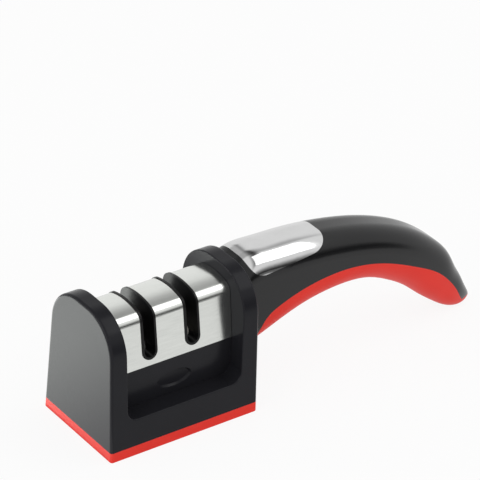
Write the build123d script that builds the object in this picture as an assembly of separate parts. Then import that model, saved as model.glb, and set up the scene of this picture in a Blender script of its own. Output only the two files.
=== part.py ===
"""Two-stage pull-through knife sharpener with a curved carrying handle.

The head stands at low X and the handle runs from it towards high X. The front
is at low Y, the object rests on Z = 0, and all lengths are in millimetres.
The head is a moulded housing with an arched cap at each end, and a centre
block between the caps with a steel cover over it. The block has two slots for
the blade and, under them, two pairs of bevelled wheels that turn on one axle.
The handle is a cored moulding with a soft grip below, a polished shield on top
and a tail that curves to the table.
"""
import os
from math import cos, radians, sin, tan

from build123d import *

os.makedirs("parts", exist_ok=True)

# Head: overall form
head_length = 73.8
head_width = 50.0
head_height = 64.3
side_lean = 3.4
arch_share = 0.87
corner_radius = 1.3
lip_radius = 0.5
sole_thickness = 4.7
cap_thickness = 7.5
cap_foot_extra = 1.0
shell_wall = 2.2
end_wall = 2.4

# Head: ledge in front of and behind the centre block
ledge_height = 17.1
ledge_corner_radius = 5.0

# Head: centre block, its snap hooks and the oval dish in its front
block_half_width = 15.2
block_gap = 0.1
hook_reach = 0.9
hook_height = 2.2
hook_width = 5.0
dish_length = 17.2
dish_height = 7.8
dish_depth = 0.9
dish_slope = 40.0
dish_middle = 24.2

# Head: steel cover on the centre block
cover_edge_height = 34.6
cover_lean = 10.0
cover_drop = 5.0
cover_crown_radius = 30.0
cover_corner_radius = 5.0
cover_sheet = 0.6
cover_end_gap = 0.15
tab_width = 6.0
tab_reach = 1.6

# Blade slots
slot_width = 7.6
slot_pitch = 21.4
slot_offset = -1.55
slot_bottom = 37.1
guide_wall = 1.0
guide_proud = 0.35
guide_flange = 1.2
guide_gap = 0.1

# Sharpening wheels, hubs and axle
axle_radius = 1.5
axle_height = 30.3
wheel_radius = 11.6
wheel_thickness = 3.6
groove_radius = 8.6
bevel_angle = 20.0
wheel_edge = 0.4
hub_radius = 4.0
hub_overhang = 0.4
hub_side_gap = 0.3
running_gap = 0.05
wheel_clearance = 0.7
ring_radius = 3.2
ring_thickness = 0.8
axle_end_length = 0.7

# Cradle that carries the axle
cradle_floor = 2.2
cradle_half_width = 12.0
upright_thickness = 2.2
upright_foot_half_width = 9.5
upright_top_radius = 4.2
upright_window_radius = 3.2
cradle_end = 2.5
cradle_boss_radius = 3.2
cradle_boss_height = 5.5
cradle_boss_offset = 7.5

# Bottom plate, sole and their screws
plate_thickness = 2.0
plate_gap = 0.2
plate_corner_radius = 2.0
boss_radius = 3.0
boss_from_end = 10.5
boss_from_side = 6.0
screw_radius = 1.2
screw_length = 7.5
screw_head_radius = 2.4
screw_head_height = 1.2
driver_width = 0.7
driver_depth = 0.6
access_radius = 3.3
groove_count = 7
groove_width = 2.6
groove_depth = 0.8
groove_margin = 9.0
sole_edge_radius = 0.5

# Handle
handle_length = 133.7
handle_rise = 1.4
handle_depth = 42.7
handle_width = 26.0
section_corner_share = 0.78
peg_radius = 2.5
peg_length = 2.0
peg_share = 0.27
handle_screw_share = 0.2
handle_screw_radius = 1.6
handle_screw_length = 8.0
handle_screw_head_radius = 3.0
handle_screw_head_height = 2.0
shield_front_wall = 1.4
shield_side_wall = 1.6
shield_top_wall = 2.6
shield_front_drop = 7.0
shield_back_drop = 4.0
shield_front_radius = 8.0
shield_back_radius = 12.0
grip_thickness = 2.6
core_tongue_width = 13.0
core_pocket_width = 8.0
core_wall = 3.0
core_rib = 2.0
tip_radius = 1.2

# Fits
fit_gap = 0.05
press_gap = 0.02
overrun = 30.0

# Handle sections from the head to the tip: place along the handle, height of the
# middle, depth and width, each as a share of the handle's own size, then the lean
section_shares = (
    (0.000, 0.638, 1.000, 1.000, 0.0),
    (0.043, 0.666, 1.028, 1.000, 0.5),
    (0.108, 0.691, 0.953, 1.000, 1.0),
    (0.226, 0.732, 0.801, 1.000, 2.0),
    (0.373, 0.740, 0.670, 0.985, 9.0),
    (0.529, 0.693, 0.585, 0.970, 21.0),
    (0.665, 0.577, 0.583, 0.945, 35.0),
    (0.759, 0.448, 0.563, 0.890, 39.0),
    (0.820, 0.332, 0.534, 0.830, 38.0),
    (0.865, 0.229, 0.452, 0.750, 35.0),
    (0.906, 0.144, 0.375, 0.660, 31.0),
    (0.940, 0.083, 0.269, 0.540, 29.0),
    (0.967, 0.047, 0.162, 0.400, 33.0),
    (0.983, 0.030, 0.089, 0.270, 38.0),
)

# Ends of the shield's lower edge and its back corner, as shares of the handle's length
shield_front_share = 0.014
shield_back_share = 0.308
shield_end_share = 0.368

# Upper edge of the soft grip, seen from the side, as shares of the handle's length and top
grip_edge_shares = (
    (0.052, 0.405),
    (0.072, 0.505),
    (0.100, 0.570),
    (0.140, 0.612),
    (0.186, 0.648),
    (0.270, 0.690),
    (0.375, 0.708),
    (0.495, 0.680),
    (0.607, 0.606),
    (0.705, 0.512),
    (0.793, 0.408),
    (0.854, 0.295),
    (0.903, 0.172),
    (0.932, 0.084),
)
grip_front_share = (0.046, 0.270)
grip_point_share = (0.942, 0.060)

# Pockets in the core from below, and the sections that lie before the first of them
pocket_count = 4
plain_section_count = 3

# Worked out from the values above
block_centre = head_length / 2
handle_top = head_height + handle_rise
cover_top = head_height - cover_drop
slot_centres = (
    block_centre + slot_offset - slot_pitch / 2,
    block_centre + slot_offset + slot_pitch / 2,
)
plate_top = sole_thickness + plate_thickness
cradle_top = plate_top + cradle_floor
upright_inner = wheel_thickness + hub_overhang + hub_side_gap
upright_outer = upright_inner + upright_thickness
guide_width = slot_width - 2 * guide_gap


def long_side(height, inset=0.0):
    """Half width of the head at a height, inside its leaning long sides."""
    return head_width / 2 - height * tan(radians(side_lean)) - inset / cos(radians(side_lean))


def cover_side(height, inset=0.0):
    """Half width of the steel cover at a height, above its lower edge."""
    rise = height - cover_edge_height
    return block_half_width - rise * tan(radians(cover_lean)) - inset / cos(radians(cover_lean))


def prism_along_x(face, start, length):
    """Extrude a face drawn as (Y, Z) along X."""
    return extrude(Plane.YZ.offset(start) * face, amount=length)


def rod(radius, start, length, y=0.0, z=0.0):
    """A round bar along X."""
    bar = Cylinder(radius, length, align=(Align.CENTER, Align.CENTER, Align.MIN))
    return Pos(start, y, z) * Rot(0, 90, 0) * bar


def post(radius, x, y, bottom, height):
    """A round bar along Z."""
    bar = Cylinder(radius, height, align=(Align.CENTER, Align.CENTER, Align.MIN))
    return Pos(x, y, bottom) * bar


def block(low, high):
    """A box between two corners."""
    size = [high[i] - low[i] for i in range(len(low))]
    return Pos(*low) * Box(*size, align=(Align.MIN, Align.MIN, Align.MIN))


def arch_face(bottom, inset=0.0):
    """Section of the head across X: leaning sides and a rounded top."""
    top = head_height - inset
    outline = Polyline(
        (-long_side(bottom, inset), bottom),
        (long_side(bottom, inset), bottom),
        (long_side(top, inset), top),
        (-long_side(top, inset), top),
        close=True,
    )
    face = make_face(outline)
    radius = arch_share * long_side(head_height) - inset
    return fillet(face.vertices().sort_by(Axis.Y)[-2:], radius)


def cover_face(inset=0.0):
    """Section of the steel cover: leaning sides and a crowned top."""
    bottom = cover_edge_height
    outline = Polyline(
        (-cover_side(bottom, inset), bottom),
        (cover_side(bottom, inset), bottom),
        (cover_side(head_height, inset), head_height),
        (-cover_side(head_height, inset), head_height),
        close=True,
    )
    crown = Pos(0, cover_top - cover_crown_radius) * Circle(cover_crown_radius - inset)
    face = make_face(outline) & crown
    return fillet(face.vertices().sort_by(Axis.Y)[-2:], cover_corner_radius - inset)


def slot_tool(centre, width, bottom):
    """A blade slot with a round bottom, right through from front to back."""
    middle = bottom + width / 2
    height = cover_top + overrun - middle
    face = Pos(centre, middle) * Circle(width / 2)
    face += Pos(centre, middle) * Rectangle(width, height, align=(Align.CENTER, Align.MIN))
    return extrude(Plane.XZ * face, amount=head_width, both=True)


def ledge_channel(gap=0.0):
    """The space between the end caps, above the ledge, with rounded lower corners."""
    foot = cap_thickness + cap_foot_extra + gap
    top = head_height + overrun
    lean = cap_foot_extra / (head_height - ledge_height)
    spread = (top - ledge_height) * lean
    outline = Polyline(
        (foot, ledge_height),
        (head_length - foot, ledge_height),
        (head_length - foot + spread, top),
        (foot - spread, top),
        close=True,
    )
    face = make_face(outline)
    face = fillet(face.vertices().sort_by(Axis.Y)[:2], ledge_corner_radius)
    return extrude(Plane.XZ * face, amount=head_width, both=True)


def block_neck(gap=0.0):
    """The opening in the ledge's floor through which the centre block passes."""
    start = cap_thickness + cap_foot_extra + ledge_corner_radius + block_gap - gap
    half = block_half_width + gap
    return block((start, -half, plate_top), (head_length - start, half, ledge_height))


def head_hollow():
    """The space inside the housing: the base and both end caps."""
    inner_length = head_length - 2 * end_wall
    base_top = ledge_height - shell_wall
    base_outline = Polyline(
        (-long_side(0.0, shell_wall), 0.0),
        (long_side(0.0, shell_wall), 0.0),
        (long_side(base_top, shell_wall), base_top),
        (-long_side(base_top, shell_wall), base_top),
        close=True,
    )
    hollow = prism_along_x(make_face(base_outline), end_wall, inner_length)
    cap_depth = cap_thickness - shell_wall - end_wall
    cap_inside = arch_face(0.0, shell_wall)
    hollow += prism_along_x(cap_inside, end_wall, cap_depth)
    hollow += prism_along_x(cap_inside, head_length - end_wall - cap_depth, cap_depth)
    return hollow


def corner_places():
    """Places of the four screws that hold the bottom plate."""
    places = []
    for x in (boss_from_end, head_length - boss_from_end):
        for side in (-1, 1):
            places.append((x, side * (head_width / 2 - boss_from_side)))
    return places


def cradle_places():
    """Places of the two screws that hold the cradle."""
    middle = sum(slot_centres) / len(slot_centres)
    return [(middle, side * cradle_boss_offset) for side in (-1, 1)]


def handle_screw_heights():
    """Heights of the two screws that hold the handle."""
    middle = section_shares[0][1] * handle_top
    reach = handle_screw_share * handle_depth
    return [middle - reach, middle + reach]


def peg_places():
    """Sides of the handle's two locating pegs."""
    return [-peg_share * handle_width, peg_share * handle_width]


def round_recess_edges(body):
    """Round the edges where the recess between the caps meets the outer skin."""
    recess = [
        face
        for face in body.faces()
        if abs(face.center().Y) < fit_gap
        and cap_thickness < face.center().X < head_length - cap_thickness
        and face.center().Z > sole_thickness + fit_gap
    ]
    edges = [edge for edge in body.edges() if sum(edge in face.edges() for face in recess) == 1]
    return fillet(edges, lip_radius)


def make_head_housing():
    """Moulded shell: a base with a ledge front and back, and two arched end caps."""
    outer = prism_along_x(arch_face(sole_thickness), 0.0, head_length)
    ends = outer.faces().sort_by(Axis.X)
    rims = [
        edge
        for edge in ends[0].edges() + ends[-1].edges()
        if edge.center().Z > sole_thickness + corner_radius
    ]
    outer = fillet(rims, corner_radius)
    housing = round_recess_edges(outer - ledge_channel())
    housing = housing - head_hollow() - block_neck(fit_gap)
    for x, y in corner_places():
        housing += post(boss_radius, x, y, plate_top, ledge_height - shell_wall - plate_top)
        housing -= post(screw_radius + press_gap, x, y, plate_top, screw_length)
    inner_face = head_length - end_wall
    for height in handle_screw_heights():
        housing -= rod(handle_screw_radius + fit_gap, inner_face, end_wall, z=height)
    middle = section_shares[0][1] * handle_top
    for y in peg_places():
        housing -= rod(peg_radius + fit_gap, inner_face, end_wall, y=y, z=middle)
    return housing


def snap_hook(centre, side):
    """Hook on the centre block's wall that catches under the ledge's floor."""
    top = ledge_height - shell_wall - fit_gap
    outline = Polyline(
        (block_half_width, top),
        (block_half_width + hook_reach, top),
        (block_half_width, top - hook_height),
        close=True,
    )
    hook = prism_along_x(make_face(outline), centre - hook_width / 2, hook_width)
    return hook if side > 0 else mirror(hook, Plane.XZ)


def oval_dish():
    """Shallow oval dish in the front wall of the centre block."""
    slope = dish_depth * tan(radians(dish_slope))
    rims = []
    for side in (-1, 1):
        plane = Plane.XZ.offset(block_half_width + side * dish_depth)
        oval = Ellipse(dish_length / 2 + side * slope, dish_height / 2 + side * slope)
        rims.append(plane * Pos(block_centre, dish_middle) * oval)
    return loft(rims)


def make_centre_block():
    """Insert between the caps that holds both slots and carries the steel cover."""
    side = Rectangle(2 * block_half_width, cover_edge_height, align=(Align.CENTER, Align.MIN))
    inside = Rectangle(
        2 * (block_half_width - shell_wall), cover_edge_height, align=(Align.CENTER, Align.MIN)
    )
    outer = prism_along_x(side, 0.0, head_length)
    outer += prism_along_x(cover_face(cover_sheet + fit_gap), 0.0, head_length)
    hollow = prism_along_x(inside, 0.0, head_length)
    hollow += prism_along_x(cover_face(cover_sheet + shell_wall), 0.0, head_length)
    centre_block = outer & (ledge_channel(block_gap) + block_neck())
    centre_block -= hollow
    for centre in slot_centres:
        width = guide_width + 2 * fit_gap
        centre_block -= slot_tool(centre, width, slot_bottom + guide_gap - fit_gap)
        for side in (-1, 1):
            centre_block -= tab_box(centre, side, fit_gap)
            centre_block += snap_hook(centre, side)
    return centre_block - oval_dish()


def tab_box(centre, side, gap):
    """One tab of the steel cover, folded inwards through the block's wall."""
    low = (centre - tab_width / 2 - gap, block_half_width - tab_reach - gap, cover_edge_height - gap)
    high = (centre + tab_width / 2 + gap, block_half_width, cover_edge_height + cover_sheet + gap)
    tab = block(low, high)
    return tab if side > 0 else mirror(tab, Plane.XZ)


def make_steel_cover():
    """Bent sheet over the centre block, open at both slots, with four tabs."""
    outside = prism_along_x(cover_face(), 0.0, head_length) & ledge_channel(cover_end_gap)
    cover = outside - prism_along_x(cover_face(cover_sheet), 0.0, head_length)
    for centre in slot_centres:
        cover -= slot_tool(centre, slot_width, slot_bottom)
        for side in (-1, 1):
            cover += tab_box(centre, side, 0.0) & outside
    return cover


def make_slot_guide(centre):
    """Moulded lining of one slot, with a flange that lies under the block's roof."""
    bottom = slot_bottom + guide_gap
    inside = slot_tool(centre, guide_width - 2 * guide_wall, bottom + guide_wall)
    lining = slot_tool(centre, guide_width, bottom)
    lining &= prism_along_x(cover_face(-guide_proud), 0.0, head_length)
    flange = slot_tool(centre, guide_width + 2 * guide_flange, bottom - guide_flange)
    under_roof = cover_sheet + shell_wall + fit_gap
    layer = cover_face(under_roof) - cover_face(under_roof + guide_flange)
    flange &= prism_along_x(layer, 0.0, head_length)
    guide = lining + flange - inside
    reach = upright_outer + wheel_clearance
    return guide - rod(wheel_radius + wheel_clearance, centre - reach, 2 * reach, z=axle_height)


def make_wheel(centre, side):
    """One bevelled wheel; the pair's bevels face each other and form the groove."""
    bevel = (wheel_radius - groove_radius) * tan(radians(bevel_angle))
    outline = Polyline(
        (fit_gap, hub_radius + press_gap),
        (wheel_thickness, hub_radius + press_gap),
        (wheel_thickness, wheel_radius - wheel_edge),
        (wheel_thickness - wheel_edge, wheel_radius),
        (fit_gap + bevel, wheel_radius),
        (fit_gap, groove_radius),
        close=True,
    )
    wheel = revolve(Plane.XZ * make_face(outline), Axis.X)
    if side < 0:
        wheel = mirror(wheel, Plane.YZ)
    return Pos(centre, 0, axle_height) * wheel


def make_hub(centre):
    """Bush that carries one pair of wheels and turns on the axle."""
    half = wheel_thickness + hub_overhang
    hub = rod(hub_radius, centre - half, 2 * half, z=axle_height)
    return hub - rod(axle_radius + running_gap, centre - half, 2 * half, z=axle_height)


def axle_span():
    """Start and end of the axle."""
    start = slot_centres[0] - upright_outer - ring_thickness - axle_end_length
    end = slot_centres[-1] + upright_outer + ring_thickness + axle_end_length
    return start, end


def make_axle():
    """Steel pin through all four uprights, with chamfered ends."""
    start, end = axle_span()
    axle = rod(axle_radius, start, end - start, z=axle_height)
    rims = axle.edges().filter_by(GeomType.CIRCLE)
    return chamfer(rims, axle_end_length / 2)


def make_axle_rings():
    """Two push-on rings that keep the axle in the cradle."""
    start, end = axle_span()
    rings = []
    for place in (start + axle_end_length, end - axle_end_length - ring_thickness):
        ring = rod(ring_radius, place, ring_thickness, z=axle_height)
        rings.append(ring - rod(axle_radius + press_gap, place, ring_thickness, z=axle_height))
    return rings


def upright_face():
    """Side view of one upright of the cradle."""
    outline = Polyline(
        (-upright_foot_half_width, cradle_top),
        (upright_foot_half_width, cradle_top),
        (upright_top_radius, axle_height),
        (-upright_top_radius, axle_height),
        close=True,
    )
    face = make_face(outline) + Pos(0, axle_height) * Circle(upright_top_radius)
    window_height = cradle_top + upright_window_radius + cradle_floor
    face -= Pos(0, window_height) * Circle(upright_window_radius)
    return face - Pos(0, axle_height) * Circle(axle_radius + press_gap)


def make_wheel_cradle():
    """Floor with four uprights for the axle and two screw bosses."""
    start = slot_centres[0] - upright_outer - cradle_end
    end = slot_centres[-1] + upright_outer + cradle_end
    cradle = block((start, -cradle_half_width, plate_top), (end, cradle_half_width, cradle_top))
    for centre in slot_centres:
        for place in (centre - upright_outer, centre + upright_inner):
            cradle += prism_along_x(upright_face(), place, upright_thickness)
    for x, y in cradle_places():
        cradle += post(cradle_boss_radius, x, y, cradle_top, cradle_boss_height)
    for x, y in cradle_places():
        cradle -= post(screw_radius + press_gap, x, y, plate_top, screw_length)
    return cradle


def countersink(x, y, gap=0.0):
    """Cone of a countersunk screw head, with its flat side at the plate's underside."""
    cone = Cone(
        screw_head_radius + gap,
        screw_radius + gap,
        screw_head_height,
        align=(Align.CENTER, Align.CENTER, Align.MIN),
    )
    return Pos(x, y, sole_thickness) * cone


def make_screw(x, y):
    """Countersunk self-tapping screw with a cross recess, driven from below."""
    length = plate_thickness + screw_length - fit_gap
    screw = countersink(x, y) + post(screw_radius, x, y, sole_thickness, length)
    for size in ((screw_head_radius, driver_width), (driver_width, screw_head_radius)):
        recess = Box(size[0], size[1], driver_depth, align=(Align.CENTER, Align.CENTER, Align.MIN))
        screw -= Pos(x, y, sole_thickness) * recess
    return screw


def make_bottom_plate():
    """Plate that closes the housing and carries the cradle."""
    half_width = long_side(plate_top, shell_wall + plate_gap)
    start = end_wall + plate_gap
    plate = block((start, -half_width, sole_thickness), (head_length - start, half_width, plate_top))
    plate = fillet(plate.edges().filter_by(Axis.Z), plate_corner_radius)
    for x, y in corner_places() + cradle_places():
        plate -= post(screw_radius + fit_gap, x, y, sole_thickness, plate_thickness)
        plate -= countersink(x, y, fit_gap)
    return plate


def make_sole_pad():
    """Soft sole with grip grooves below and four holes for the plate's screws."""
    outline = Polyline(
        (-long_side(0.0), 0.0),
        (long_side(0.0), 0.0),
        (long_side(sole_thickness), sole_thickness),
        (-long_side(sole_thickness), sole_thickness),
        close=True,
    )
    pad = prism_along_x(make_face(outline), 0.0, head_length)
    uprights = [edge for edge in pad.edges() if edge.length < 2 * sole_thickness]
    pad = fillet(uprights, corner_radius)
    pad = fillet(pad.faces().sort_by(Axis.Z)[0].edges(), sole_edge_radius)
    for x, y in corner_places():
        pad -= post(access_radius, x, y, 0.0, sole_thickness)
    run = head_length - 2 * (boss_from_end + groove_margin)
    for index in range(groove_count):
        x = boss_from_end + groove_margin + run * index / (groove_count - 1)
        half_length = head_width / 2 - groove_margin
        low = (x - groove_width / 2, -half_length, 0.0)
        high = (x + groove_width / 2, half_length, groove_depth)
        pad -= block(low, high)
    return pad


def section_plane(x_share, z_share, lean):
    """Plane square to the handle's run at one section."""
    origin = (head_length + x_share * handle_length, 0, z_share * handle_top)
    return Plane(origin=origin, x_dir=(0, 1, 0), z_dir=(cos(radians(lean)), 0, -sin(radians(lean))))


def handle_form():
    """The handle's outer form, from rounded sections along its run."""
    faces = []
    for x_share, z_share, depth_share, width_share, lean in section_shares:
        width = handle_width * width_share
        depth = handle_depth * depth_share
        corner = section_corner_share * min(width, depth) / 2
        faces.append(section_plane(x_share, z_share, lean) * RectangleRounded(width, depth, corner))
    return loft(faces)


def side_point(shares):
    """A point of a side view, from shares of the handle's length and top."""
    return (head_length + shares[0] * handle_length, shares[1] * handle_top)


def side_zone(edges):
    """Everything that lies inside a closed side view."""
    return extrude(Plane.XZ * make_face(edges), amount=head_width, both=True)


def edge_point(index, side, inset):
    """A point inside the handle's top (side 1) or underside (side -1) at one section."""
    x_share, z_share, depth_share, _, lean = section_shares[index]
    reach = side * (handle_depth * depth_share / 2 - inset)
    x, z = side_point((x_share, z_share))
    return (x + reach * sin(radians(lean)), z + reach * cos(radians(lean)))


def top_height(x):
    """Height of the handle's top above a place along it, between two sections."""
    tops = [edge_point(index, 1, 0.0) for index in range(len(section_shares))]
    for start, end in zip(tops, tops[1:]):
        if x <= end[0]:
            return start[1] + (end[1] - start[1]) * (x - start[0]) / (end[0] - start[0])
    return tops[-1][1]


def shield_zone():
    """Space taken by the shield: its side view, less the core's rounded seat below it."""
    front, back, end = [
        head_length + share * handle_length
        for share in (shield_front_share, shield_back_share, shield_end_share)
    ]
    crest = max(edge_point(index, 1, 0.0)[1] for index in range(len(section_shares)))
    above = crest + shield_front_drop
    low_front = (front, top_height(front) - shield_front_drop)
    low_back = (back, top_height(back) - shield_back_drop)
    outline = Polyline((front, above), low_front, low_back, (end, above), close=True)
    face = make_face(outline)
    corners = face.vertices().sort_by(Axis.Y)[:2].sort_by(Axis.X)
    face = fillet(corners[0], shield_front_radius)
    face = fillet(face.vertices().sort_by_distance((*low_back, 0))[0], shield_back_radius)
    seat = RectangleRounded(
        handle_width - 2 * shield_side_wall,
        2 * (crest - shield_top_wall),
        handle_width / 2 * section_corner_share - shield_side_wall,
    )
    seat_start = front + shield_front_wall
    return extrude(Plane.XZ * face, amount=head_width, both=True) - prism_along_x(
        seat, seat_start, end - seat_start
    )


def grip_zone():
    """Space taken by the soft grip: its side view, less the core's tongue inside it."""
    front = side_point(grip_front_share)
    points = [side_point(shares) for shares in grip_edge_shares]
    point = side_point(grip_point_share)
    sweep = Spline(front, *points, point)
    below = -overrun
    beyond = head_length + handle_length + overrun
    frame = Polyline(point, (beyond, point[1]), (beyond, below), (front[0], below), front)
    return side_zone([sweep, frame]) - core_tongue()


def core_tongue():
    """Narrow rib of the core that runs down into the grip."""
    underside = [edge_point(index, -1, grip_thickness) for index in range(2, len(section_shares) - 2)]
    last = underside[-1]
    first = underside[0]
    frame = Polyline(last, (last[0], handle_top), (first[0], handle_top), first)
    face = make_face([Spline(*underside), frame])
    return extrude(Plane.XZ * face, amount=core_tongue_width / 2, both=True)


def core_pockets():
    """Pockets that core out the handle from below, with a rib between each two."""
    pockets = []
    for index in range(plain_section_count, plain_section_count + pocket_count):
        top_start = edge_point(index, 1, grip_thickness + core_wall)
        top_end = edge_point(index + 1, 1, grip_thickness + core_wall)
        low_start = edge_point(index, -1, 0.0)
        low_end = edge_point(index + 1, -1, 0.0)
        outline = Polyline(
            (low_start[0] + core_rib / 2, low_start[1]),
            (top_start[0] + core_rib / 2, top_start[1]),
            (top_end[0] - core_rib / 2, top_end[1]),
            (low_end[0] - core_rib / 2, low_end[1]),
            close=True,
        )
        pockets.append(extrude(Plane.XZ * make_face(outline), amount=core_pocket_width / 2, both=True))
    return pockets


def rounded_tip(form):
    """Round the small flat face at the tail's end."""
    end = form.faces().filter_by(GeomType.PLANE).sort_by(Axis.X)[-1]
    return fillet(end.edges(), tip_radius)


def make_handle():
    """The handle's three visible pieces, cut from one form."""
    form = rounded_tip(handle_form())
    shield = form & shield_zone()
    grip = form & grip_zone()
    core = form - shield_zone() - grip_zone()
    for pocket in core_pockets():
        core -= pocket
    middle = section_shares[0][1] * handle_top
    for height in handle_screw_heights():
        core -= rod(handle_screw_radius + press_gap, head_length, handle_screw_length, z=height)
    for y in peg_places():
        core += rod(peg_radius, head_length - peg_length, peg_length, y=y, z=middle)
    return core, grip, shield


def make_handle_screws():
    """Two screws from inside the head into the handle."""
    screws = []
    inner_face = head_length - end_wall
    head_start = inner_face - handle_screw_head_height
    length = end_wall + handle_screw_length - fit_gap
    for height in handle_screw_heights():
        head = rod(handle_screw_head_radius, head_start, handle_screw_head_height, z=height)
        shank = rod(handle_screw_radius, inner_face, length, z=height)
        screws.append(head + shank)
    return screws


def make_everything():
    """All the pieces by name, in the head's frame."""
    coarse, fine = slot_centres
    core, grip, shield = make_handle()
    return {
        "head_housing": make_head_housing(),
        "centre_block": make_centre_block(),
        "steel_cover": make_steel_cover(),
        "coarse_slot_guide": make_slot_guide(coarse),
        "fine_slot_guide": make_slot_guide(fine),
        "wheel_cradle": make_wheel_cradle(),
        "wheel_axle": make_axle(),
        "axle_rings": make_axle_rings(),
        "coarse_hub": make_hub(coarse),
        "coarse_wheel_left": make_wheel(coarse, -1),
        "coarse_wheel_right": make_wheel(coarse, 1),
        "fine_hub": make_hub(fine),
        "fine_wheel_left": make_wheel(fine, -1),
        "fine_wheel_right": make_wheel(fine, 1),
        "bottom_plate": make_bottom_plate(),
        "plate_screws": [make_screw(x, y) for x, y in corner_places()],
        "cradle_screws": [make_screw(x, y) for x, y in cradle_places()],
        "sole_pad": make_sole_pad(),
        "handle_core": core,
        "handle_grip": grip,
        "handle_shield": shield,
        "handle_screws": make_handle_screws(),
    }


pieces = make_everything()
solids = []
for piece in pieces.values():
    for item in piece if isinstance(piece, list) else [piece]:
        solids.extend(item.solids())
box = Compound(children=solids).bounding_box()
to_origin = Pos(-box.center().X, 0, -box.min.Z)
for name, piece in pieces.items():
    group = []
    for item in piece if isinstance(piece, list) else [piece]:
        group.extend(item.solids())
    moved = [to_origin * solid for solid in group]
    export_step(Compound(children=moved) if len(moved) > 1 else moved[0], f"parts/{name}.step")
print("size", box.size, "shift", box.center().X, box.min.Z)
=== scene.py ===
# %% [markdown]
# # A pull-through knife sharpener
#
# The sharpener is a short black head with a steel cover over two blade slots,
# and a long curved handle behind it. The packed CAD model already holds every
# real piece with its full form and in its right place, so no piece is modelled
# a second time here. This lesson loads that model as a fixed frame, gives each
# surface a finish made from nodes, and lights it as a small studio would.

from math import radians

import bpy
from mathutils import Matrix, Vector

MM = 0.001
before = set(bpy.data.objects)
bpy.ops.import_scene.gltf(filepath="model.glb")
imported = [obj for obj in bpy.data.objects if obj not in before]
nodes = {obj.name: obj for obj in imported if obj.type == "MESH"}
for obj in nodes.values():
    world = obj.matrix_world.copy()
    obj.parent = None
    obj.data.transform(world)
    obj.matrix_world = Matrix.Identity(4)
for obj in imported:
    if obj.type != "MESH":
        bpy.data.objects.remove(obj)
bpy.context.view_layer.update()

# %% [markdown]
# ## The camera
#
# A camera close to the object with a short lens would make the near corner
# look too large. The photograph shows very little of that, so the camera
# stands well back, at the front left and above, with a long lens. Its place
# and turn were worked out once from matched corners of the head.

# %% Camera
CAMERA_SENSOR = 36.0
CAMERA_LENS = 246.02
CAMERA_REACH = 50.0
CAMERA_PLACE = (-0.737932, -0.914409, 0.779359)
CAMERA_TURN = (58.4773, -3.1750, -36.0102)

camera_data = bpy.data.cameras.new("camera")
camera_data.sensor_width = CAMERA_SENSOR
camera_data.lens = CAMERA_LENS
camera_data.clip_end = CAMERA_REACH
camera = bpy.data.objects.new("camera", camera_data)
bpy.context.scene.collection.objects.link(camera)
camera.location = CAMERA_PLACE
camera.rotation_euler = [radians(turn) for turn in CAMERA_TURN]
bpy.context.scene.camera = camera
print("camera lens", CAMERA_LENS, "mm,", round(Vector(CAMERA_PLACE).length, 2), "m away")

# %% [markdown]
# ## Writing shader maths
#
# A finish is a small network of nodes, and wiring each node by hand hides
# the sum that it does. Here a socket is wrapped so that ordinary Python
# operators add Math nodes. A line such as `rough = 0.3 + 0.1 * grain` then
# reads as what it means. The operators have their reflected forms too, so
# that a plain number may stand on the left.


# %% A socket that does arithmetic
class Value:
    """A socket of a shader, on which + - * add Math nodes."""

    def __init__(self, net, socket):
        self.net = net
        self.socket = socket

    def _math(self, operation, first, second):
        return self.net.node("ShaderNodeMath", {"operation": operation}, first, second)

    def __add__(self, other):
        return self._math("ADD", self, other)

    __radd__ = __add__

    def __sub__(self, other):
        return self._math("SUBTRACT", self, other)

    def __rsub__(self, other):
        return self._math("SUBTRACT", other, self)

    def __mul__(self, other):
        return self._math("MULTIPLY", self, other)

    __rmul__ = __mul__

    def largest(self, other):
        """The larger of two values."""
        return self._math("MAXIMUM", self, other)

    def above(self, low, high):
        """0 below low, 1 above high, and smooth between them."""
        settings = {"interpolation_type": "SMOOTHSTEP"}
        return self.net.node("ShaderNodeMapRange", settings, self, low, high, 0.0, 1.0)


def dimmed(share, level):
    """1 where a share is 0, falling to a level where it is 1."""
    return 1.0 - (1.0 - level) * share


print("a value has", [name for name in vars(Value) if not name.startswith("_")])

# %% [markdown]
# ## One method for every other node
#
# Blender makes a node by its type, has its settings as attributes, and fills
# its sockets with a number or a link. These three steps are always the same,
# so one method does them for any node, and short methods with plain names
# call it for the nodes that the finishes share. All patterns read Object
# coordinates, which stay with a piece when it moves.


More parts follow.
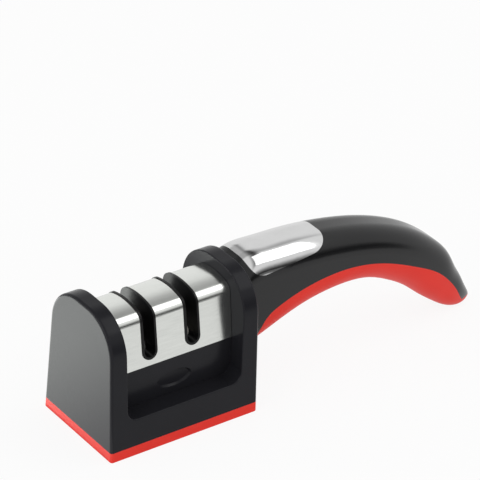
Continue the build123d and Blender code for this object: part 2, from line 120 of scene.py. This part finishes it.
# %% A net of nodes
class Net:
    """The node tree of a material or of the world."""

    def __init__(self, owner):
        owner.use_nodes = True
        self.owner = owner
        self.tree = owner.node_tree
        self.tree.nodes.clear()

    def node(self, kind, settings, *values, output=0, sockets=None, **named):
        """Adds a node, sets it, and fills its sockets in order, by number or by name."""
        made = self.tree.nodes.new(kind)
        for key, value in settings.items():
            setattr(made, key, value)
        filled = dict(enumerate(values))
        filled.update(sockets or {})
        filled.update({key.replace("_", " "): value for key, value in named.items()})
        for key, value in filled.items():
            if isinstance(value, Value):
                self.tree.links.new(value.socket, made.inputs[key])
            else:
                made.inputs[key].default_value = value
        return Value(self, made.outputs[output])

    def place(self, scale=(1.0, 1.0, 1.0)):
        """The point of the object that is shaded, in metres, stretched by a scale."""
        point = self.node("ShaderNodeTexCoord", {}, output="Object")
        return self.node("ShaderNodeMapping", {}, Vector=point, Scale=scale)

    def axis(self, letter, point):
        """One coordinate of a point."""
        return self.node("ShaderNodeSeparateXYZ", {}, point, output=letter)

    def noise(self, size, scale=(1.0, 1.0, 1.0), detail=2.0):
        """Noise with grains of one size, in metres."""
        return self.node(
            "ShaderNodeTexNoise", {}, Vector=self.place(scale), Scale=1.0 / size, Detail=detail
        )

    def mix(self, share, first, second):
        """A colour between two colours."""
        colours = {0: share, 6: first, 7: second}
        return self.node("ShaderNodeMix", {"data_type": "RGBA"}, output=2, sockets=colours)

    def bump(self, height, strength, depth):
        """The normal of a surface with a relief, whose depth is in metres."""
        return self.node(
            "ShaderNodeBump", {}, Strength=strength, Distance=depth, Height=height
        )

    def ray(self, kind):
        """1 for the rays of one kind."""
        return self.node("ShaderNodeLightPath", {}, output="Is " + kind + " Ray")

    def seen(self):
        """1 for rays of the camera, also in a mirror, and 0 for light on a matt surface."""
        return self.ray("Camera").largest(self.ray("Glossy")).largest(self.ray("Transmission"))

    def finish(self, **named):
        """Ends a material in a Principled shader."""
        return self.output("Material", self.node("ShaderNodeBsdfPrincipled", {}, **named))

    def output(self, kind, shader):
        """Ends a material or the world, and returns it."""
        out = self.tree.nodes.new("ShaderNodeOutput" + kind)
        self.tree.links.new(shader.socket, out.inputs["Surface"])
        return self.owner


print("a net has", [name for name in vars(Net) if not name.startswith("_")])

# %% [markdown]
# ## Small helpers for colours
#
# A colour in Blender is four numbers, the last of which is how opaque it is.
# Most of this object is black, grey or metal, so a grey is written as one
# level with a slight tint. No real surface has one flat colour, so each
# finish goes slowly from its colour to a darker one and back.

# %% Colours
NOISE_MIDDLE = 0.5


def new_net(name):
    """The net of a new material."""
    return Net(bpy.data.materials.new(name))


def grey(level, tint=0.0):
    """A grey, a little bluer where tint is positive."""
    return (level, level, level * (1.0 + tint), 1.0)


def darker(colour, share):
    """A colour at a share of its brightness, and as opaque."""
    return (*[part * share for part in colour[:3]], 1.0)


print("a pale grey is", grey(0.8), "and half of it", darker(grey(0.8), 0.5))

# %% [markdown]
# ## Black moulded plastic
#
# The head is a black moulding with a fine satin grain, which a spark-eroded
# mould leaves on it. A plain black colour looks like a hole, so the finish
# has a grain of about a third of a millimetre in its bump, slow patches in
# its gloss, and a weak reflection. The handle is glossier and nearly without
# grain, and the parts inside are duller. The hubs on the axle are moulded
# too, in the natural colour of a bearing plastic.

# %% Moulded plastics
GLOSS_PATCH = 14 * MM
GLOSS_SPREAD = 0.05
PATCH_DARKER = 0.8
GRAIN_DETAIL = 3.0
GRAIN_STRENGTH = 0.35


def moulded(name, colour, rough, grain, depth, specular):
    """A moulded plastic with a mould's grain; its size and depth are in millimetres."""
    net = new_net(name)
    fine = net.noise(grain * MM, detail=GRAIN_DETAIL)
    slow = net.noise(GLOSS_PATCH)
    return net.finish(
        Base_Color=net.mix(slow, colour, darker(colour, PATCH_DARKER)),
        Roughness=rough + GLOSS_SPREAD * (slow - NOISE_MIDDLE),
        Specular_IOR_Level=specular,
        Normal=net.bump(fine, GRAIN_STRENGTH, depth * MM),
    )


housing_black = moulded(
    "housing_black", grey(0.016, 0.2), rough=0.22, grain=0.35, depth=0.02, specular=0.11
)
guide_black = moulded(
    "guide_black", grey(0.005, 0.05), rough=0.3, grain=0.5, depth=0.005, specular=0.2
)
inner_black = moulded(
    "inner_black", grey(0.01, 0.03), rough=0.55, grain=0.4, depth=0.02, specular=0.2
)
handle_black = moulded(
    "handle_black", grey(0.008, 0.08), rough=0.16, grain=0.6, depth=0.004, specular=0.32
)
hub_plastic = moulded(
    "hub_plastic", (0.5, 0.47, 0.4, 1.0), rough=0.45, grain=0.4, depth=0.01, specular=0.4
)
print("plastics", housing_black.name, guide_black.name, inner_black.name, handle_black.name)

# %% [markdown]
# ## Brushed steel
#
# The cover is a thin stainless sheet, brushed along the head before it was
# bent. Brushing leaves fine scratches that are long along X and narrow
# across it, so noise stretched along X drives both the gloss and a faint
# bump. A painted picture of scratches would smear at the bend, and noise in
# three dimensions doesn't. The turned pin and the screws have the same steel
# with a grain that runs no way.

# %% Steels
SCRATCH_DETAIL = 4.0
SCRATCH_DARKER = 0.82
SCRATCH_SPREAD = 0.12
SCRATCH_STRENGTH = 0.25
STEEL_CLOUD = 9 * MM
STEEL_CLOUD_SPREAD = 0.06
ALONG_HEAD = (0.03, 1.0, 1.0)
NO_WAY = (1.0, 1.0, 1.0)


def brushed(name, colour, rough, stretch, size, depth):
    """Steel with scratches of a size and depth in millimetres, stretched by a scale."""
    net = new_net(name)
    scratch = net.noise(size * MM, scale=stretch, detail=SCRATCH_DETAIL)
    cloud = net.noise(STEEL_CLOUD)
    gloss = SCRATCH_SPREAD * (scratch - NOISE_MIDDLE)
    return net.finish(
        Base_Color=net.mix(scratch, colour, darker(colour, SCRATCH_DARKER)),
        Metallic=1.0,
        Roughness=rough + gloss + STEEL_CLOUD_SPREAD * (cloud - NOISE_MIDDLE),
        Normal=net.bump(scratch, SCRATCH_STRENGTH, depth * MM),
    )


cover_steel = brushed(
    "cover_steel", (0.74, 0.755, 0.725, 1.0), rough=0.2, stretch=ALONG_HEAD, size=0.25, depth=0.01
)
pin_steel = brushed("pin_steel", grey(0.6), rough=0.22, stretch=NO_WAY, size=0.3, depth=0.004)
screw_steel = brushed(
    "screw_steel", grey(0.5, 0.05), rough=0.35, stretch=NO_WAY, size=0.4, depth=0.01
)
print("steels", cover_steel.name, pin_steel.name, screw_steel.name)

# %% [markdown]
# ## Grinding wheels
#
# The first pair of wheels is steel with hard grit on it, and the second is a
# fine pale ceramic. Grit shows as small bright and dark specks. Noise would
# give soft clouds, so a cell pattern, whose cells have clear edges, breaks up
# the colour, the gloss and the bump of both pairs, far more finely on the
# second.

# %% Wheels
SPECK_START = 0.15
SPECK_END = 0.6
SPECK_SPREAD = 0.15
SPECK_STRENGTH = 0.5


def gritty(name, colour, dark, metallic, rough, size, depth):
    """A surface of small cells, whose size and depth are in millimetres."""
    net = new_net(name)
    cells = net.node("ShaderNodeTexVoronoi", {}, Vector=net.place(), Scale=1.0 / (size * MM))
    speck = cells.above(SPECK_START, SPECK_END)
    return net.finish(
        Base_Color=net.mix(speck, colour, dark),
        Metallic=metallic,
        Roughness=rough + SPECK_SPREAD * speck,
        Normal=net.bump(cells, SPECK_STRENGTH, depth * MM),
    )


coated_steel = gritty(
    "coated_steel", grey(0.42), grey(0.16), metallic=0.9, rough=0.35, size=0.35, depth=0.05
)
fine_ceramic = gritty(
    "fine_ceramic",
    (0.8, 0.78, 0.72, 1.0),
    (0.7, 0.67, 0.6, 1.0),
    metallic=0.0,
    rough=0.55,
    size=0.2,
    depth=0.01,
)
print("wheels", coated_steel.name, fine_ceramic.name)

# %% [markdown]
# ## Soft red rubber
#
# The sole and the grip are moulded in a soft red elastomer. It is satin, not
# glossy, and has a very fine grain. A strong red that is as glossy as the
# black would look like lacquer, so its reflection is weak and wide, and its
# colour drifts a little between two reds.

# %% Red elastomer
RED = (0.86, 0.034, 0.02, 1.0)
RED_DEEPER = (0.8, 0.028, 0.017, 1.0)
RED_ROUGH = 0.46
RED_ROUGH_SPREAD = 0.1
RED_SPECULAR = 0.24
RED_CLOUD = 18 * MM
RED_GRAIN = 0.25 * MM
RED_GRAIN_DEPTH = 0.012 * MM
RED_GRAIN_STRENGTH = 0.3

soft_net = new_net("soft_red")
soft_grain = soft_net.noise(RED_GRAIN, detail=GRAIN_DETAIL)
soft_cloud = soft_net.noise(RED_CLOUD)
soft_red = soft_net.finish(
    Base_Color=soft_net.mix(soft_cloud, RED, RED_DEEPER),
    Roughness=RED_ROUGH + RED_ROUGH_SPREAD * (soft_cloud - NOISE_MIDDLE),
    Specular_IOR_Level=RED_SPECULAR,
    Normal=soft_net.bump(soft_grain, RED_GRAIN_STRENGTH, RED_GRAIN_DEPTH),
)
print("elastomer", soft_red.name)

# %% [markdown]
# ## Polished shield
#
# The shield on the handle is bright plating, so it shows the room and almost
# nothing of its own. Bump would make it look dented, so only a trace of
# unevenness in the gloss and the colour keeps it from being a perfect mirror.

# %% Bright plating
PLATING_BRIGHT = 0.62
PLATING_DIM = 0.56
PLATING_ROUGH = 0.07
PLATING_SPREAD = 0.03
PLATING_CLOUD = 6 * MM

plating_net = new_net("bright_plating")
plating_cloud = plating_net.noise(PLATING_CLOUD)
bright_plating = plating_net.finish(
    Base_Color=plating_net.mix(plating_cloud, grey(PLATING_BRIGHT), grey(PLATING_DIM)),
    Metallic=1.0,
    Roughness=PLATING_ROUGH + PLATING_SPREAD * plating_cloud,
)
print("plating", bright_plating.name)

# %% [markdown]
# ## A finish for every piece
#
# A loaded piece comes with a plain colour. Its mesh stays as it is, and only
# its material is exchanged, piece by piece and by name, so the table below
# also says what each part of the sharpener is made of.

# %% Give each piece its finish
FINISHES = {
    "head_housing": housing_black,
    "centre_block": housing_black,
    "steel_cover": cover_steel,
    "coarse_slot_guide": guide_black,
    "fine_slot_guide": guide_black,
    "wheel_cradle": inner_black,
    "wheel_axle": pin_steel,
    "axle_rings": pin_steel,
    "coarse_hub": hub_plastic,
    "coarse_wheel_left": coated_steel,
    "coarse_wheel_right": coated_steel,
    "fine_hub": hub_plastic,
    "fine_wheel_left": fine_ceramic,
    "fine_wheel_right": fine_ceramic,
    "bottom_plate": inner_black,
    "plate_screws": screw_steel,
    "cradle_screws": screw_steel,
    "sole_pad": soft_red,
    "handle_core": handle_black,
    "handle_grip": soft_red,
    "handle_shield": bright_plating,
    "handle_screws": screw_steel,
}
for name, finish in FINISHES.items():
    nodes[name].data.materials.clear()
    nodes[name].data.materials.append(finish)
print("finishes on", len(FINISHES), "of", len(nodes), "pieces")

# %% [markdown]
# ## A dark corner for the mirrors
#
# Polished steel has hardly a colour of its own, and in a room that is white
# all round it looks like paper. A real studio stands something dark beside
# the table. Here one corner of the studio, at the front right, is dark for
# rays that come off a shiny surface, and for no others. It gives the thin
# dark line below the bright one along the bend of the steel, and the other
# sides of the object still mirror a bright room.

# %% The dark corner of the studio
CORNER_X = 0.53
CORNER_Y = -0.85
CORNER_START = 0.88
CORNER_END = 0.97


def dark_corner(net, towards):
    """1 for directions towards the dark corner, and 0 for the others."""
    share = CORNER_X * net.axis("X", towards) + CORNER_Y * net.axis("Y", towards)
    return share.above(CORNER_START, CORNER_END)


print("the dark corner lies towards", (CORNER_X, CORNER_Y))

# %% [markdown]
# ## Floor
#
# The object stands on a pale floor in a white studio. A floor that is only
# lit by lamps turns grey far away, so most of what the camera sees of it is
# plain white, and the rest is a matt surface that keeps the soft shadow.
# Where the far floor reaches the dark corner, it is dark in the mirrors too.

# %% Floor
FLOOR_SIZE = 8.0
FLOOR_GREY = 0.85
FLOOR_WHITE_SHARE = 0.9
FAR_START = 0.22
FAR_END = 0.42
FAR_LEVEL = 0.1

bpy.ops.object.select_all(action="DESELECT")
bpy.ops.mesh.primitive_plane_add(size=FLOOR_SIZE, location=(0.0, 0.0, 0.0))
floor = bpy.context.object
floor.name = "floor"
floor_net = new_net("floor_white")
matt = floor_net.node("ShaderNodeBsdfDiffuse", {}, Color=grey(FLOOR_GREY))
spot = floor_net.place()
away = floor_net.node("ShaderNodeVectorMath", {"operation": "LENGTH"}, spot, output="Value")
towards = floor_net.node("ShaderNodeVectorMath", {"operation": "NORMALIZE"}, spot)
far = away.above(FAR_START, FAR_END) * dark_corner(floor_net, towards)
glow = dimmed(floor_net.ray("Glossy") * far, FAR_LEVEL)
white = floor_net.node("ShaderNodeEmission", {}, Color=grey(1.0), Strength=glow)
floor_share = FLOOR_WHITE_SHARE * floor_net.seen()
floor_mix = floor_net.node("ShaderNodeMixShader", {}, floor_share, matt, white)
floor.data.materials.append(floor_net.output("Material", floor_mix))
print("floor", FLOOR_SIZE, "m wide, plain white to a share of", FLOOR_WHITE_SHARE)

# %% [markdown]
# ## World
#
# The world is three things at once. The camera sees plain white. Matt
# surfaces get an even light that shows their colours about as written. Shiny
# surfaces mirror a studio: bright walls with the dark corner, which fades
# upwards, a dimmer ceiling behind the object, and a dark panel high on the
# right, which shades the crown of the steel towards its bend. A picture of a
# real room would do the same, but this way each part can be set by itself.

# %% World
WALL_START = 0.02
WALL_END = 0.5
WALL_BRIGHT = 1.05
WALL_DARK = 0.04
CEILING_START = 0.58
CEILING_END = 0.8
CEILING_BACK_START = 0.12
CEILING_BACK_END = 0.26
CEILING_LEVEL = 0.55
PANEL_START = 0.22
PANEL_END = 0.45
PANEL_RIGHT_START = 0.1
PANEL_RIGHT_END = 0.4
PANEL_LEVEL = 0.12
WORLD_LIGHT = 0.73

world_net = Net(bpy.data.worlds.new("studio"))
direction = world_net.node("ShaderNodeTexCoord", {}, output="Generated")
right = world_net.axis("X", direction)
back = world_net.axis("Y", direction)
height = world_net.axis("Z", direction)
low = 1.0 - height.above(WALL_START, WALL_END)
walls = WALL_BRIGHT * dimmed(low * dark_corner(world_net, direction), WALL_DARK / WALL_BRIGHT)
behind = back.above(CEILING_BACK_START, CEILING_BACK_END)
ceiling = height.above(CEILING_START, CEILING_END) * behind
at_right = right.above(PANEL_RIGHT_START, PANEL_RIGHT_END)
panel = (height - right).above(PANEL_START, PANEL_END) * at_right
level = walls * dimmed(ceiling, CEILING_LEVEL) * dimmed(panel, PANEL_LEVEL)


def background(strength):
    """A white background of a strength."""
    return world_net.node("ShaderNodeBackground", {}, Color=grey(1.0), Strength=strength)


mirrored = world_net.ray("Glossy")
shown = world_net.node("ShaderNodeMixShader", {}, mirrored, background(1.0), background(level))
lit = background(WORLD_LIGHT)
world_mix = world_net.node("ShaderNodeMixShader", {}, world_net.seen(), lit, shown)
bpy.context.scene.world = world_net.output("World", world_mix)
print("world light", WORLD_LIGHT)

# %% [markdown]
# ## Lamps
#
# Three soft lamps do the rest. A large one at the front right draws the
# bright line along the bend of the steel and the soft shine on the shoulders
# of the black caps. A wide one at the left lights the left end and the sole.
# A small one, low and behind on the left, draws the thin light line along
# the rim of the left cap, so only shiny surfaces see it. A lamp is turned by
# aiming it at the head, which is easier to read than three angles.

# %% Lamps
HEAD = (-0.06, 0.0, 0.05)
UPRIGHT = (0.0, 0.0, 1.0)


def lamp(name, place, size, power, along=UPRIGHT):
    """A soft lamp at a place, turned to the head, with its second side along a line."""
    data = bpy.data.lights.new(name, "AREA")
    data.shape = "RECTANGLE"
    data.size, data.size_y = size
    data.energy = power
    made = bpy.data.objects.new(name, data)
    bpy.context.scene.collection.objects.link(made)
    outwards = (Vector(place) - Vector(HEAD)).normalized()
    side = Vector(along).cross(outwards).normalized()
    turn = Matrix((side, outwards.cross(side), outwards)).transposed()
    made.location = place
    made.rotation_euler = turn.to_euler()
    return made


lamps = [
    lamp("front_right", (0.622, -0.407, 1.08), (0.5, 0.95), 2.5, along=(0.0, 0.9, 0.53)),
    lamp("left_fill", (-1.1, -0.1, 0.6), (0.8, 0.8), 3.2),
    lamp("left_rim", (-1.16, 0.62, 0.2), (0.6, 0.3), 2.8),
]
lamps[-1].visible_camera = False
lamps[-1].visible_diffuse = False
print("lamps", {made.name: made.data.energy for made in lamps})

# %% [markdown]
# ## Card
#
# Shiny things look like what lies around them. A bright card on the floor
# beside the left end lifts the black end face to the grey that plastic shows
# when it mirrors a bright table. The card fades towards the front, as such a
# reflection does. It only shows in shiny surfaces: the camera doesn't see it,
# and it neither lights a matt surface nor casts a shadow.

# %% Bright card
CARD_SIZE = (0.22, 0.24)
CARD_PLACE = (-0.2137, 0.08, 0.0006)
CARD_FRONT_LIGHT = 2.3
CARD_BACK_LIGHT = 5.6
CARD_BACK_TINT = 0.97
CARD_FADE_START = -0.45
CARD_FADE_END = -0.02

bpy.ops.object.select_all(action="DESELECT")
bpy.ops.mesh.primitive_plane_add(size=1.0, location=CARD_PLACE)
card = bpy.context.object
card.name = "bright_card"
card.scale = (*CARD_SIZE, 1.0)
for kind in ("camera", "diffuse", "shadow"):
    setattr(card, "visible_" + kind, False)
card_net = new_net("bright_card")
fade = card_net.axis("Y", card_net.place()).above(CARD_FADE_START, CARD_FADE_END)
tinted = CARD_BACK_LIGHT * CARD_BACK_TINT
card_colour = card_net.mix(fade, grey(CARD_FRONT_LIGHT), (tinted, CARD_BACK_LIGHT, tinted, 1.0))
card_light = card_net.node("ShaderNodeEmission", {}, Color=card_colour, Strength=1.0)
card.data.materials.append(card_net.output("Material", card_light))
print("card", CARD_SIZE, "m, from", CARD_FRONT_LIGHT, "to", CARD_BACK_LIGHT)

# %% [markdown] ## Ending the scene  The view is set to Standard, so that a
# colour is shown as it is and not as a film would change it.

# %% View settings and the end
bpy.context.scene.view_settings.view_transform = "Standard"


print("sizes written for", len(nodes), "pieces")
